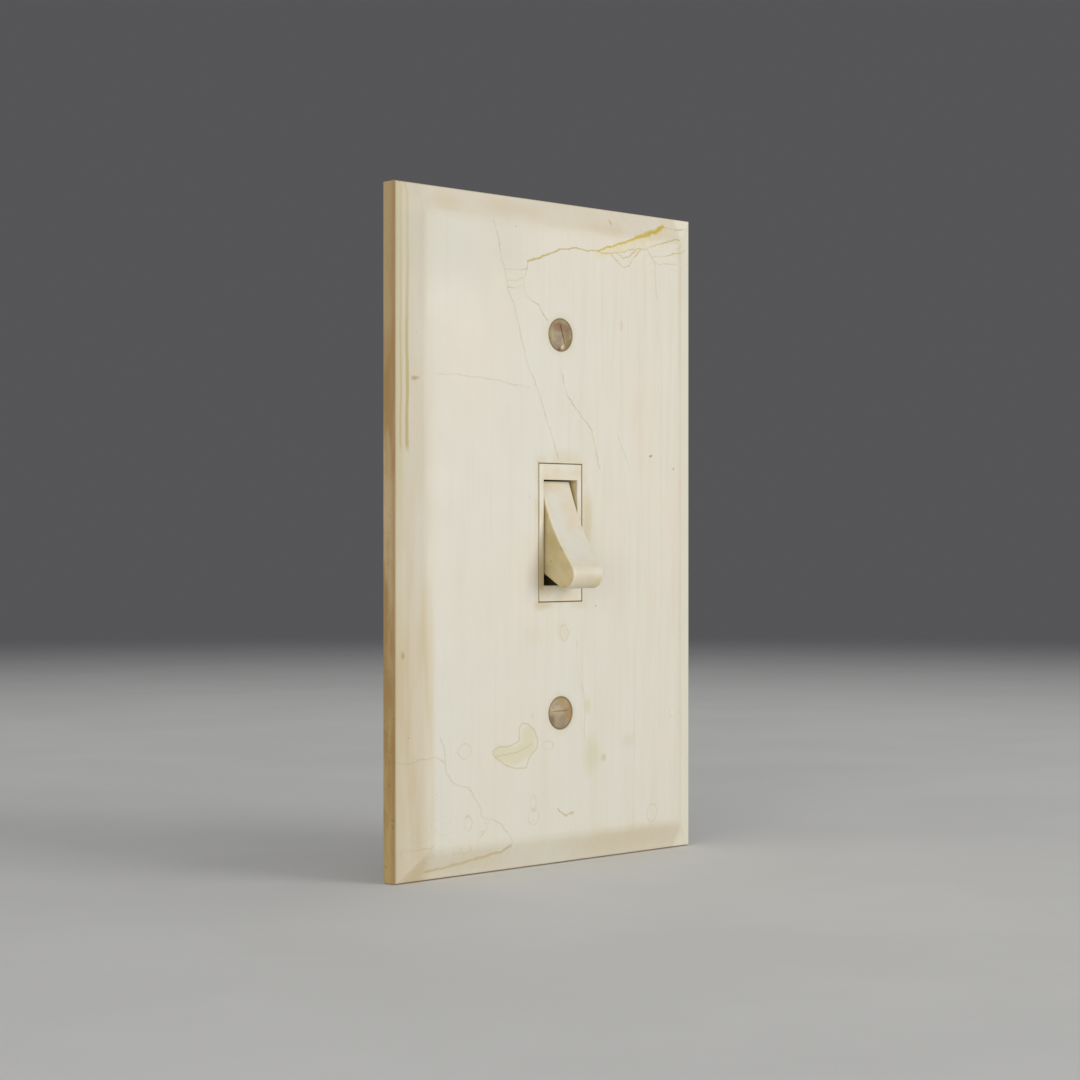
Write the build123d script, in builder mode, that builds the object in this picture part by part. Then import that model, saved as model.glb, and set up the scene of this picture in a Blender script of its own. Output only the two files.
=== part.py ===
"""Toggle wall switch with its cover plate. Millimetres, +Z up, front towards -Y.

The origin is the centre of the toggle opening on the wall plane: the plate's
back rim and the strap's back lie at Y = 0, and the works reach into +Y.
The lever is stored down, 80.88 degrees below its other end stop.
"""

import os
from math import cos, radians, sin, tan

from build123d import *

os.makedirs("parts", exist_ok=True)

PLATE_W, PLATE_H, FACE = 69.85, 114.3, 5.4
SIDE = 3.0  # height of the plate's upright side wall
BEVEL = 4.9  # width of the sloping band
OPEN_W, OPEN_H = 10.3, 23.8  # the plate's toggle opening
SCREW_Z = (34.0, -31.0)  # plate screws
BOX_Z = (41.65, -41.65)  # captive screws into the wall box
RIVETS = [(x, z) for x in (-11, 11) for z in (-20.5, 20.5)]

PIVOT_Y = -1.6
HALF = 40.44  # half of the lever's travel, in degrees
FWD = (0, -cos(radians(HALF)), -sin(radians(HALF)))  # towards the lever's tip
# local x runs to the tip, local z along +X
LEVER = Plane(origin=(0, PIVOT_Y, 0), x_dir=FWD, z_dir=(1, 0, 0))
R_LOBE, R_CAM = 9.12, 9.5
DETENT_X, ARM_X = -1.9, 1.9
ARM_PIN = (9.9, 3.0)  # y, z


def save(part, name):
    export_step(part, f"parts/{name}.step")


def block(x0, x1, y0, y1, z0, z1, mode=Mode.ADD):
    with Locations(((x0 + x1) / 2, (y0 + y1) / 2, (z0 + z1) / 2)):
        return Box(abs(x1 - x0), abs(y1 - y0), abs(z1 - z0), mode=mode)


def rod_y(r, y0, y1, x, z, mode=Mode.ADD):
    with Locations(Location((x, (y0 + y1) / 2, z), (90, 0, 0))):
        return Cylinder(r, abs(y1 - y0), mode=mode)


def rod_x(r, x0, x1, y, z, mode=Mode.ADD):
    with Locations(Location(((x0 + x1) / 2, y, z), (0, 90, 0))):
        return Cylinder(r, abs(x1 - x0), mode=mode)


def cone_y(r0, r1, y0, y1, x, z, mode=Mode.ADD):
    """A cone whose radius is r0 at y0 and r1 at y1, with y1 > y0."""
    with Locations(Location((x, (y0 + y1) / 2, z), (-90, 0, 0))):
        return Cone(r0, r1, y1 - y0, mode=mode)


def tapered(w0, h0, y0, w1, h1, y1, mode=Mode.ADD):
    """A block between a rectangle at y0 and another at y1."""
    ends = []
    for w, h, y in ((w0, h0, y0), (w1, h1, y1)):
        plane = Plane(origin=(0, y, 0), x_dir=(1, 0, 0), z_dir=(0, -1, 0))
        with BuildSketch(plane) as end:
            Rectangle(w, h)
        ends.append(end.sketch)
    loft(sections=ends, mode=mode)


# --- cover plate -----------------------------------------------------------
with BuildPart() as plate:
    block(-PLATE_W / 2, PLATE_W / 2, -SIDE, 0, -PLATE_H / 2, PLATE_H / 2)
    tapered(
        PLATE_W, PLATE_H, -SIDE, PLATE_W - 2 * BEVEL, PLATE_H - 2 * BEVEL, -FACE
    )
    fillet(plate.faces().sort_by(Axis.Y)[0].edges(), 3.2)
    outer = (
        plate.edges()
        .filter_by_position(Axis.Y, -SIDE - 0.01, -SIDE + 0.01)
        .filter_by(lambda e: abs(e.center().Y + SIDE) < 0.01)
    )
    fillet(outer, 0.5)
    # the hollow back
    block(-32.7, 32.7, -1.8, 0, -54.9, 54.9, mode=Mode.SUBTRACT)
    tapered(65.4, 109.8, -1.8, 59.0, 103.4, -3.4, mode=Mode.SUBTRACT)
    for z in SCREW_Z:
        rod_y(4.2, -3.6, -1.5, 0, z)
    block(
        -OPEN_W / 2, OPEN_W / 2, -FACE - 1, 1, -OPEN_H / 2, OPEN_H / 2, Mode.SUBTRACT
    )
    for z in SCREW_Z:
        rod_y(1.95, -FACE - 1, 0, 0, z, Mode.SUBTRACT)
        deep = (2.9 - 1.95) / tan(radians(41))
        cone_y(2.9, 1.95, -FACE, -FACE + deep, 0, z, Mode.SUBTRACT)
save(plate.part, "wall_plate")

# --- plate screws: low oval head, slotted, 6-32 body ------------------------
with BuildPart() as plate_screws:
    for z, turn in zip(SCREW_Z, (72, 0)):
        cone_y(2.8, 1.75, -5.3, -5.3 + 1.05 / tan(radians(41)), 0, z)
        rod_y(1.75, -5.0, 6.4, 0, z)
        cone_y(1.75, 1.1, 6.4, 7.2, 0, z)
        # a shallow dome on the head
        with BuildSketch(Plane(origin=(0, 0, z), x_dir=(1, 0, 0), z_dir=(0, 0, 1))):
            with BuildLine():
                a = Line((0, -5.3), (2.8, -5.3))
                b = ThreePointArc((2.8, -5.3), (1.5, -5.56), (0, -5.66))
                Line((0, -5.66), (0, -5.3))
            make_face()
        revolve(axis=Axis((0, 0, z), (0, 1, 0)))
        with Locations(Location((0, -5.8, z), (0, turn, 0))):
            Box(7, 1.5, 0.8, mode=Mode.SUBTRACT)
save(plate_screws.part, "plate_screws")

# --- toggle lever -----------------------------------------------------------
EDGE = [(-4, 8.33), (-1.45, 6.82), (0, 6.05), (2.8, 4.72), (5.2, 3.84)]
EDGE += [(7.3, 3.22), (9.2, 2.82), (11.0, 2.44)]
with BuildPart() as lever:
    with BuildSketch(LEVER.offset(-3.65)):
        with BuildLine():
            Line((-4, -8.33), (-4, 8.33))
            Spline(*EDGE)
            Spline(*[(s, -h) for s, h in EDGE])
            ThreePointArc((11.0, 2.44), (13.35, 0), (11.0, -2.44))
        make_face()
    extrude(amount=7.3)
    fillet(
        [
            e
            for e in lever.edges()
            if abs(abs(e.center().X) - 3.65) < 0.01
            and (e.center() - Vector(0, PIVOT_Y, 0)).dot(Vector(*FWD)) > -3.9
        ],
        0.45,
    )
    with BuildSketch(LEVER.offset(-5)):
        Circle(R_LOBE)
        with Locations((10, 0)):
            Rectangle(20, 20)
    extrude(amount=10, mode=Mode.INTERSECT)
    with BuildSketch(LEVER.offset(-3.4)):
        with Locations((-5.6, 0)):
            Rectangle(4.4, 3.8)
    extrude(amount=3.0)
    rod_x(1.21, -5, 5, PIVOT_Y, 0, Mode.SUBTRACT)
    bore = Plane(LEVER.from_local_coords(Vector(-8.5, 0, DETENT_X)), z_dir=FWD)
    with BuildSketch(bore):
        Circle(1.1)
    extrude(amount=6.3, mode=Mode.SUBTRACT)
save(lever.part, "toggle_lever")

with BuildPart() as pin:
    rod_x(1.2, -4.85, 4.85, PIVOT_Y, 0)
    chamfer(pin.edges().filter_by(GeomType.CIRCLE), 0.2)
save(pin.part, "pivot_pin")

with BuildPart() as plunger:
    seat = Plane(LEVER.from_local_coords(Vector(-5.75, 0, DETENT_X)), z_dir=[-c for c in FWD])
    with BuildSketch(seat):
        Circle(1.05)
    extrude(amount=2.6)
    with Locations(LEVER.from_local_coords(Vector(-8.35, 0, DETENT_X))):
        Sphere(1.05)
save(plunger.part, "detent_plunger")

with BuildPart() as detent_spring:
    start = Plane(LEVER.from_local_coords(Vector(-5.5, 0, DETENT_X)), z_dir=FWD)
    coil = Helix(pitch=0.72, height=2.9, radius=0.84).moved(start.location)
    with BuildSketch(Plane(coil @ 0, z_dir=coil % 0)):
        Circle(0.16)
    sweep(path=coil, is_frenet=True)
save(detent_spring.part, "detent_spring")

# --- front cover: the bezel and its flange -----------------------------------
with BuildPart() as cover:
    block(-5.05, 5.05, -FACE, 0.6, -11.8, 11.8)
    fillet(cover.edges().filter_by(Axis.Y), 0.25)
    fillet(cover.faces().sort_by(Axis.Y)[0].edges(), 0.12)
    block(-16, 16, 0.3, 3.3, -26, 26)
    block(-4.025, 4.025, -FACE - 1, -3, -9.08, 9.08, Mode.SUBTRACT)
    block(-4.025, 4.025, -3.4, 4, -10.1, 10.1, Mode.SUBTRACT)
    for x, z in RIVETS:
        rod_y(1.25, -1, 4, x, z, Mode.SUBTRACT)
    rod_x(1.25, -6, 6, PIVOT_Y, 0, Mode.SUBTRACT)
save(cover.part, "front_cover")

with BuildPart() as gasket:
    block(-15.5, 15.5, 0.02, 0.28, -25.5, 25.5)
    block(-5.25, 5.25, -1, 1, -12.0, 12.0, Mode.SUBTRACT)
    for x, z in RIVETS:
        rod_y(1.3, -1, 1, x, z, Mode.SUBTRACT)
save(gasket.part, "insulating_gasket")

# --- mounting strap -----------------------------------------------------------
with BuildPart() as strap:
    block(-15, 15, -1.3, 0, -24.5, 24.5)
    block(-6.5, 6.5, -1.3, 0, -50, 50)
    for s in (-1, 1):
        block(-11, 11, -1.3, 0, s * 38.0, s * 52.5)
    fillet(strap.edges().filter_by(Axis.Y), 1.2)
    block(-5.3, 5.3, -2, 1, -12.05, 12.05, Mode.SUBTRACT)
    for z in SCREW_Z:
        rod_y(1.8, -2, 1, 0, z, Mode.SUBTRACT)
    for x, z in RIVETS:
        rod_y(1.25, -2, 1, x, z, Mode.SUBTRACT)
    for z in BOX_Z:
        block(-1.7, 1.7, -2, 1, z - 2.0, z + 2.0, Mode.SUBTRACT)
        for x in (-1.7, 1.7):
            rod_y(2.0, -2, 1, x, z, Mode.SUBTRACT)
        for x in (-7.6, 7.6):
            rod_y(1.5, -2, 1, x, z + (4.2 if z > 0 else -4.2), Mode.SUBTRACT)
save(strap.part, "mounting_strap")

with BuildPart() as rivets:
    for x, z in RIVETS:
        rod_y(1.2, -1.3, 22, x, z)
        rod_y(2.1, -1.8, -1.3, x, z)
        rod_y(2.1, 22, 22.5, x, z)
        rod_y(0.8, -3, 24, x, z, Mode.SUBTRACT)
save(rivets.part, "housing_rivets")

with BuildPart() as box_screws:
    for z in BOX_Z:
        rod_y(3.1, -3.0, -1.3, 0, z)
        rod_y(1.45, -1.3, 1.2, 0, z)
        rod_y(1.75, 1.2, 17.0, 0, z)
        cone_y(1.75, 1.1, 17.0, 17.8, 0, z)
    fillet(
        [e for e in box_screws.edges() if abs(e.center().Y + 3.0) < 0.01], 0.9
    )
    for z in BOX_Z:
        with Locations(Location((0, -2.8, z), (0, 25, 0))):
            Box(8, 1.6, 0.9, mode=Mode.SUBTRACT)
save(box_screws.part, "box_screws")

with BuildPart() as retainers:
    for z in BOX_Z:
        block(-4.2, 4.2, 0.02, 0.8, z - 3.6, z + 3.6)
        rod_y(1.5, -1, 2, 0, z, Mode.SUBTRACT)
save(retainers.part, "screw_retainers")

# --- rear housing ---------------------------------------------------------------
with BuildPart() as housing:
    block(-16, 16, 3.3, 22, -26, 26)
    fillet(housing.edges().filter_by(Axis.Y), 1.5)
    fillet(housing.faces().sort_by(Axis.Y)[-1].edges(), 0.8)
    block(-13.8, 13.8, 3, 20, -16.5, 16.5, Mode.SUBTRACT)
    block(-7.5, 7.5, 3, 20, -23.6, 23.6, Mode.SUBTRACT)
    for x, z in RIVETS:
        rod_y(1.25, 3, 23, x, z, Mode.SUBTRACT)
    block(13, 17, 4.1, 5.3, -16.3, -8.2, Mode.SUBTRACT)  # line terminal's slot
    block(13, 17, 15.9, 17.1, 8.2, 16.3, Mode.SUBTRACT)  # load terminal's slot
    for z in (-12, 12):
        rod_x(2.1, 12, 17, 11.3, z, Mode.SUBTRACT)
save(housing.part, "rear_housing")

# --- detent cam: a plate with a track around the pivot ----------------------------
with BuildPart() as cam:
    block(-3.1, -0.8, 3.7, 19.95, -8.5, 8.5)
    rod_x(R_CAM, -5, 5, PIVOT_Y, 0, Mode.SUBTRACT)
    for s in (-1, 1):
        y = PIVOT_Y + 8.4 * cos(radians(HALF))
        rod_x(1.5, -5, 5, y, s * 8.4 * sin(radians(HALF)), Mode.SUBTRACT)
save(cam.part, "detent_cam")

# --- terminals and contacts ---------------------------------------------------------
with BuildPart() as line:
    block(16.05, 17.05, 4.2, 17.5, -16.2, -8.3)
    block(0.3, 17.05, 4.2, 5.2, -16.2, -8.3)
    block(0.3, 4.6, 4.2, 5.2, -18.2, -8.3)
    rod_x(1.8, 15, 18, 11.3, -12, Mode.SUBTRACT)
    rod_y(0.8, 4, 6, ARM_X, -15.6, Mode.SUBTRACT)
save(line.part, "line_terminal")

with BuildPart() as fixed_contact:
    rod_y(0.78, 3.9, 5.3, ARM_X, -15.6)
    rod_y(1.2, 3.8, 4.15, ARM_X, -15.6)
    rod_y(1.6, 5.22, 6.1, ARM_X, -15.6)
    fillet([e for e in fixed_contact.edges() if abs(e.center().Y - 6.1) < 0.01], 0.3)
save(fixed_contact.part, "fixed_contact")

with BuildPart() as load:
    block(16.05, 17.05, 5.5, 17.0, 8.3, 16.2)
    block(-0.55, 17.05, 16, 17, 8.3, 16.2)
    block(-0.55, 4.35, 16, 17, 1.2, 16.2)
    for x0, x1 in ((-0.55, 0.35), (3.45, 4.35)):
        block(x0, x1, 8.4, 17, 1.2, 4.8)
    rod_x(1.8, 15, 18, 11.3, 12, Mode.SUBTRACT)
    rod_x(0.82, -2, 6, *ARM_PIN, Mode.SUBTRACT)
save(load.part, "load_terminal")

with BuildPart() as arm_pin:
    rod_x(0.8, -0.7, 7.3, *ARM_PIN)
    rod_x(1.3, 7.2, 7.7, *ARM_PIN)
save(arm_pin.part, "arm_pin")

with BuildPart() as arm:
    block(0.6, 3.2, 9.3, 10.5, -17.6, 3.0)
    rod_x(1.5, 0.6, 3.2, *ARM_PIN)
    block(0.6, 3.2, 7.06, 9.4, -5.3, -2.9)
    fillet(
        [
            e
            for e in arm.edges().filter_by(Axis.X)
            if abs(e.center().Y - 7.06) < 0.01
        ],
        0.5,
    )
    block(-0.1 + 0.6, 3.3, 9.3, 10.5, -17.6, -13.6)
    rod_x(0.86, -1, 5, *ARM_PIN, Mode.SUBTRACT)
    rod_y(0.8, 9, 11, ARM_X, -15.6, Mode.SUBTRACT)
save(arm.part, "contact_arm")

with BuildPart() as moving_contact:
    rod_y(0.78, 9.2, 10.8, ARM_X, -15.6)
    rod_y(1.2, 10.52, 10.9, ARM_X, -15.6)
    rod_y(1.6, 8.3, 9.28, ARM_X, -15.6)
    fillet([e for e in moving_contact.edges() if abs(e.center().Y - 8.3) < 0.01], 0.3)
save(moving_contact.part, "moving_contact")

with BuildPart() as arm_spring:
    base = Plane(origin=(4.75, *ARM_PIN), x_dir=(0, 1, 0), z_dir=(1, 0, 0))
    twist = Helix(pitch=0.5, height=2.0, radius=1.3).moved(base.location)
    with BuildSketch(Plane(twist @ 0, z_dir=twist % 0)):
        Circle(0.18)
    sweep(path=twist, is_frenet=True)
    for a, b in (
        (twist @ 0, Vector(4.75, 10.95, -3.4)),
        (Vector(4.75, 10.95, -3.4), Vector(1.2, 10.95, -3.4)),
        (twist @ 1, Vector(6.75, 11.2, 7.6)),
        (Vector(6.75, 11.2, 7.6), Vector(6.75, 15.7, 9.4)),
    ):
        leg = Line(a, b)
        with BuildSketch(Plane(leg @ 0, z_dir=leg % 0)):
            Circle(0.18)
        extrude(amount=leg.length)
        with Locations(b):
            Sphere(0.18)
save(arm_spring.part, "arm_spring")

with BuildPart() as terminal_screws:
    for z, turn in ((-12, 20), (12, 65)):
        rod_x(1.75, 12.6, 17.2, 11.3, z)
        rod_x(3.5, 17.1, 19.1, 11.3, z)
    fillet([e for e in terminal_screws.edges() if abs(e.center().X - 19.1) < 0.01], 0.6)
    for z, turn in ((-12, 20), (12, 65)):
        with Locations(Location((19.0, 11.3, z), (turn, 0, 0))):
            Box(2.0, 9, 0.9, mode=Mode.SUBTRACT)
save(terminal_screws.part, "terminal_screws")
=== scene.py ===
# %% [markdown]
# # A toggle wall switch and its aged cover plate
# The switch is a small machine: an ivory cover plate, a bezel with a wedge
# shaped lever in it, and behind the wall a steel strap, a phenolic housing and
# the contact works. The solid model gives every size. This file gives the
# finish: threads, wire, rolled rivets, and surfaces that show their years.
# Everything is in metres, +Z up, and the face looks towards -Y.

# %% Load the solid model and keep its size
from math import cos, pi, radians, sin

import bpy
import bmesh
from mathutils import Matrix, Vector


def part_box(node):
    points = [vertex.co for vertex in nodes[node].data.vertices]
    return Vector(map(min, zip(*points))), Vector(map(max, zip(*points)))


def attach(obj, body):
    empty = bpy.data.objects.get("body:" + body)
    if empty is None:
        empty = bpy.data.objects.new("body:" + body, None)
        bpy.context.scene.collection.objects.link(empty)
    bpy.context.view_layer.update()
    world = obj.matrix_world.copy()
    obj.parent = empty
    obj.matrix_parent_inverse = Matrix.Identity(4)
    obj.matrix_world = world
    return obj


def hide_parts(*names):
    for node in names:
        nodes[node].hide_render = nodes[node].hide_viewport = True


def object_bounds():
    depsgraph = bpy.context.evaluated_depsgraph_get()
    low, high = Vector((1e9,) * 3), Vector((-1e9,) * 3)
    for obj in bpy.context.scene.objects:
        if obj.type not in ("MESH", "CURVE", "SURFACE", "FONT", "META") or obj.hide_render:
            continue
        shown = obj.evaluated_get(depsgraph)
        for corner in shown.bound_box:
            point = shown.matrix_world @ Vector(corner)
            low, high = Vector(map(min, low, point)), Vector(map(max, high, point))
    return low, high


MM = 0.001
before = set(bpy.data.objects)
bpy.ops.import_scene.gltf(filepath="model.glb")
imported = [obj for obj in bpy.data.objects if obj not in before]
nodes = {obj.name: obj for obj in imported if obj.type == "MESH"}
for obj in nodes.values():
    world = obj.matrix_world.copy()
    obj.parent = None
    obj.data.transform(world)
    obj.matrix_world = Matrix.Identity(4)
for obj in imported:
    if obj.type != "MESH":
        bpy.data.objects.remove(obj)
cad_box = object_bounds()

# %% [markdown]
# ## Camera, floor and light
# A long lens from the front left, level with the middle of the plate, keeps
# the uprights parallel, as a product photographer would. The floor is a pale
# sheet, and one large soft light stands in front to the right, with a weak
# one from the left so the side wall keeps some shape.

# %% Camera
scene = bpy.context.scene
scene.view_settings.view_transform = "Standard"
lens = bpy.data.cameras.new("camera")
lens.sensor_width, lens.lens = 36.0, 75.18
lens.clip_start = 0.01
camera = bpy.data.objects.new("camera", lens)
camera.location = (-0.2691, -0.2848, -0.00126)
camera.rotation_euler = Vector((0.6871, 0.7266, 0)).to_track_quat("-Z", "Y").to_euler()
scene.collection.objects.link(camera)
scene.camera = camera

# %% Floor and backdrop
FLOOR_Z = cad_box[0][2] - 0.0001


def mesh_object(name, make):
    """A new object whose mesh the function make fills through bmesh."""
    bm = bmesh.new()
    make(bm)
    mesh = bpy.data.meshes.new(name)
    bm.to_mesh(mesh)
    bm.free()
    obj = bpy.data.objects.new(name, mesh)
    scene.collection.objects.link(obj)
    return obj


def floor_grid(bm):
    bmesh.ops.create_grid(bm, x_segments=2, y_segments=2, size=1.0)
    bmesh.ops.translate(bm, verts=bm.verts, vec=(0, 0, FLOOR_Z))


floor = mesh_object("floor", floor_grid)

# %% Lights and the room's grey


def soft_light(name, place, size, watts, colour=(1, 1, 1)):
    lamp = bpy.data.lights.new(name, "AREA")
    lamp.shape, lamp.size, lamp.energy, lamp.color = "SQUARE", size, watts, colour
    obj = bpy.data.objects.new(name, lamp)
    obj.location = place
    obj.rotation_euler = (-Vector(place)).to_track_quat("-Z", "Y").to_euler()
    scene.collection.objects.link(obj)
    return obj


soft_light("key light", (0.42, -0.96, 0.20), 0.6, 5.8, (1.0, 0.99, 0.97))
soft_light("side fill", (-0.75, -0.40, 0.12), 0.5, 2.0, (1.0, 0.98, 0.95))
room = bpy.data.worlds.new("room")
room.use_nodes = True
scene.world = room
walls = room.node_tree
lit, seen = walls.nodes["Background"], walls.nodes.new("ShaderNodeBackground")
lit.inputs["Color"].default_value = (0.37, 0.37, 0.37, 1)
seen.inputs["Color"].default_value = (0.092, 0.092, 0.098, 1)
either = walls.nodes.new("ShaderNodeMixShader")
path = walls.nodes.new("ShaderNodeLightPath")
walls.links.new(path.outputs["Is Camera Ray"], either.inputs[0])
walls.links.new(lit.outputs[0], either.inputs[1])
walls.links.new(seen.outputs[0], either.inputs[2])
walls.links.new(either.outputs[0], walls.nodes["World Output"].inputs[0])

# %% [markdown]
# ## Small helpers for building node trees
# A finish is a sum of simple parts: noise, distances, masks and mixes. These
# helpers add one node each and return its output, so that a material reads
# like a recipe instead of a page of link calls.

# %% Node helpers


def wire(tree, value, socket):
    """Link a socket to a socket, or set a plain value on it."""
    if isinstance(value, bpy.types.NodeSocket):
        tree.links.new(value, socket)
    else:
        socket.default_value = value


def add(tree, kind, *values, **settings):
    node = tree.nodes.new(kind)
    for key, value in settings.items():
        setattr(node, key, value)
    for value, socket in zip(values, node.inputs):
        wire(tree, value, socket)
    return node


def calc(tree, operation, *values, clamp=False):
    return add(
        tree, "ShaderNodeMath", *values, operation=operation, use_clamp=clamp
    ).outputs[0]


def total(tree, *values):
    result = values[0]
    for value in values[1:]:
        result = calc(tree, "ADD", result, value)
    return result


def times(tree, *values):
    result = values[0]
    for value in values[1:]:
        result = calc(tree, "MULTIPLY", result, value)
    return result


def vector_calc(tree, operation, *values):
    node = add(tree, "ShaderNodeVectorMath", *values, operation=operation)
    single = operation in ("DISTANCE", "LENGTH", "DOT_PRODUCT")
    return node.outputs["Value" if single else "Vector"]


def scaled(tree, vector, factors):
    return vector_calc(tree, "MULTIPLY", vector, factors)


def fade(tree, value, start, end, low=0.0, high=1.0):
    """A smooth step: low where value is at start, high where it is at end."""
    node = add(tree, "ShaderNodeMapRange", interpolation_type="SMOOTHSTEP")
    for socket, v in zip(node.inputs, (value, start, end, low, high)):
        wire(tree, v, socket)
    return node.outputs[0]


def noise(tree, vector, scale, detail=3.0, rough=0.5, colour=False):
    node = add(tree, "ShaderNodeTexNoise", noise_dimensions="3D")
    for name, v in (
        ("Vector", vector),
        ("Scale", scale),
        ("Detail", detail),
        ("Roughness", rough),
    ):
        wire(tree, v, node.inputs[name])
    return node.outputs["Color" if colour else "Fac"]


def blend(tree, factor, first, second, mode="MIX"):
    node = tree.nodes.new("ShaderNodeMix")
    node.data_type, node.blend_type = "RGBA", mode
    wire(tree, factor, node.inputs["Factor"])
    wire(tree, first, node.inputs[6])
    wire(tree, second, node.inputs[7])
    return node.outputs[2]


def rgb(red, green, blue):
    """A colour as a paint chip gives it, 0 to 255, made linear for the shader."""
    parts = [c / 255 for c in (red, green, blue)]
    linear = [c / 12.92 if c <= 0.04045 else ((c + 0.055) / 1.055) ** 2.4 for c in parts]
    return (*linear, 1.0)


def smallest(tree, values):
    result = values[0]
    for value in values[1:]:
        result = calc(tree, "MINIMUM", result, value)
    return result


# %% A maker for shader node groups


def shader_group(name, inputs, outputs, build):
    """Build a node group once. build(tree, input sockets) returns its outputs."""
    tree = bpy.data.node_groups.new(name, "ShaderNodeTree")
    kinds = {"v": "NodeSocketVector", "f": "NodeSocketFloat", "c": "NodeSocketColor"}
    for label, kind, start in inputs:
        socket = tree.interface.new_socket(
            name=label, in_out="INPUT", socket_type=kinds[kind]
        )
        if start is not None:
            socket.default_value = start
    for label, kind in outputs:
        tree.interface.new_socket(name=label, in_out="OUTPUT", socket_type=kinds[kind])
    entry, leave = tree.nodes.new("NodeGroupInput"), tree.nodes.new("NodeGroupOutput")
    made = build(tree, {label: entry.outputs[label] for label, _, _ in inputs})
    for value, socket in zip(made, leave.inputs):
        wire(tree, value, socket)
    return tree


def use(tree, group, **values):
    """Place a group in a tree. An input called Line Width is written line_width."""
    node = tree.nodes.new("ShaderNodeGroup")
    node.node_tree = group
    for socket in node.inputs:
        key = socket.name.lower().replace(" ", "_")
        if key in values:
            wire(tree, values[key], socket)
    return node.outputs


# %% [markdown]
# ## Shared effects
# Old mouldings and old metal share a few effects: a soft mottling, streaks
# that run down with the washing water, fine grain, hairline crazing, and
# grime that gathers near an edge. Each is one node group with named inputs,
# so every material places the same effect with its own values.

# %% Groups: mottling, streaks and grain


def build_mottling(t, i):
    fine = noise(t, i["Point"], i["Scale"], 4.0, 0.55)
    return [fade(t, fine, 0.36, 0.66)]


mottling = shader_group(
    "Soft mottling",
    [("Point", "v", None), ("Scale", "f", 0.05)],
    [("Mask", "f")],
    build_mottling,
)


def build_streaks(t, i):
    wobble = scaled(t, noise(t, i["Point"], 0.05, 2.0, colour=True), (3.0, 3.0, 3.0))
    bent = vector_calc(t, "ADD", i["Point"], wobble)
    upright = scaled(t, bent, (1.0, 1.0, 0.03))
    wide = noise(t, upright, i["Scale"], 3.0, 0.6)
    return [fade(t, wide, 0.42, 0.72)]


streaks = shader_group(
    "Run down streaks",
    [("Point", "v", None), ("Scale", "f", 0.35)],
    [("Mask", "f")],
    build_streaks,
)


def build_grain(t, i):
    coarse = noise(t, i["Point"], calc(t, "MULTIPLY", i["Scale"], 0.12), 2.0)
    fine = noise(t, i["Point"], i["Scale"], 4.0, 0.6)
    return [calc(t, "ADD", calc(t, "MULTIPLY", coarse, 0.6), calc(t, "MULTIPLY", fine, 0.4))]


grain = shader_group(
    "Moulded grain",
    [("Point", "v", None), ("Scale", "f", 3.0)],
    [("Height", "f")],
    build_grain,
)

# %% Groups: a stroke between two points, and contour lines


def build_stroke(t, i):
    """Distance from Point to the straight line from Start to End, across the face."""
    flat = scaled(t, i["Point"], (1, 0, 1))
    along = vector_calc(t, "SUBTRACT", i["End"], i["Start"])
    out = vector_calc(t, "SUBTRACT", flat, i["Start"])
    share = calc(
        t,
        "DIVIDE",
        vector_calc(t, "DOT_PRODUCT", out, along),
        vector_calc(t, "DOT_PRODUCT", along, along),
        clamp=True,
    )
    step = t.nodes.new("ShaderNodeVectorMath")
    step.operation = "SCALE"
    wire(t, along, step.inputs[0])
    wire(t, share, step.inputs["Scale"])
    near = vector_calc(t, "ADD", i["Start"], step.outputs[0])
    return [vector_calc(t, "DISTANCE", flat, near)]


stroke = shader_group(
    "Vein stroke",
    [("Point", "v", None), ("Start", "v", None), ("End", "v", None)],
    [("Distance", "f")],
    build_stroke,
)


def build_contours(t, i):
    field = noise(t, scaled(t, i["Point"], (1, 0, 1.7)), i["Scale"], 2.0, 0.4)
    steps = calc(t, "FRACT", calc(t, "MULTIPLY", field, i["Count"]))
    off = calc(t, "ABSOLUTE", calc(t, "SUBTRACT", steps, 0.5))
    return [fade(t, off, i["Width"], 0.0)]


contours = shader_group(
    "Contour lines",
    [("Point", "v", None), ("Scale", "f", 0.1), ("Count", "f", 9.0), ("Width", "f", 0.06)],
    [("Mask", "f")],
    build_contours,
)

# %% Groups: distance outside a rectangle, and tarnish on metal


def build_frame_distance(t, i):
    """How far a point on the face lies outside a centred rectangle, in mm."""
    sep = add(t, "ShaderNodeSeparateXYZ", i["Point"])
    across = calc(t, "SUBTRACT", calc(t, "ABSOLUTE", sep.outputs[0]), i["Half Width"])
    up = calc(t, "SUBTRACT", calc(t, "ABSOLUTE", sep.outputs[2]), i["Half Height"])
    return [calc(t, "MAXIMUM", across, up)]


frame_distance = shader_group(
    "Distance from a frame",
    [("Point", "v", None), ("Half Width", "f", 5.0), ("Half Height", "f", 11.8)],
    [("Distance", "f")],
    build_frame_distance,
)


def build_tarnish(t, i):
    broad = noise(t, i["Point"], i["Scale"], 5.0, 0.62)
    dark = fade(t, broad, 0.42, 0.62)
    spots = noise(t, i["Point"], calc(t, "MULTIPLY", i["Scale"], 4.0), 3.0, 0.7)
    rust = calc(t, "MULTIPLY", fade(t, spots, 0.52, 0.70), i["Rust"])
    return [dark, rust, calc(t, "ADD", calc(t, "MULTIPLY", broad, 0.5), spots)]


tarnish = shader_group(
    "Tarnish and rust",
    [("Point", "v", None), ("Scale", "f", 0.4), ("Rust", "f", 0.3)],
    [("Dark", "f"), ("Rust", "f"), ("Height", "f")],
    build_tarnish,
)

# %% A maker for materials


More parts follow.
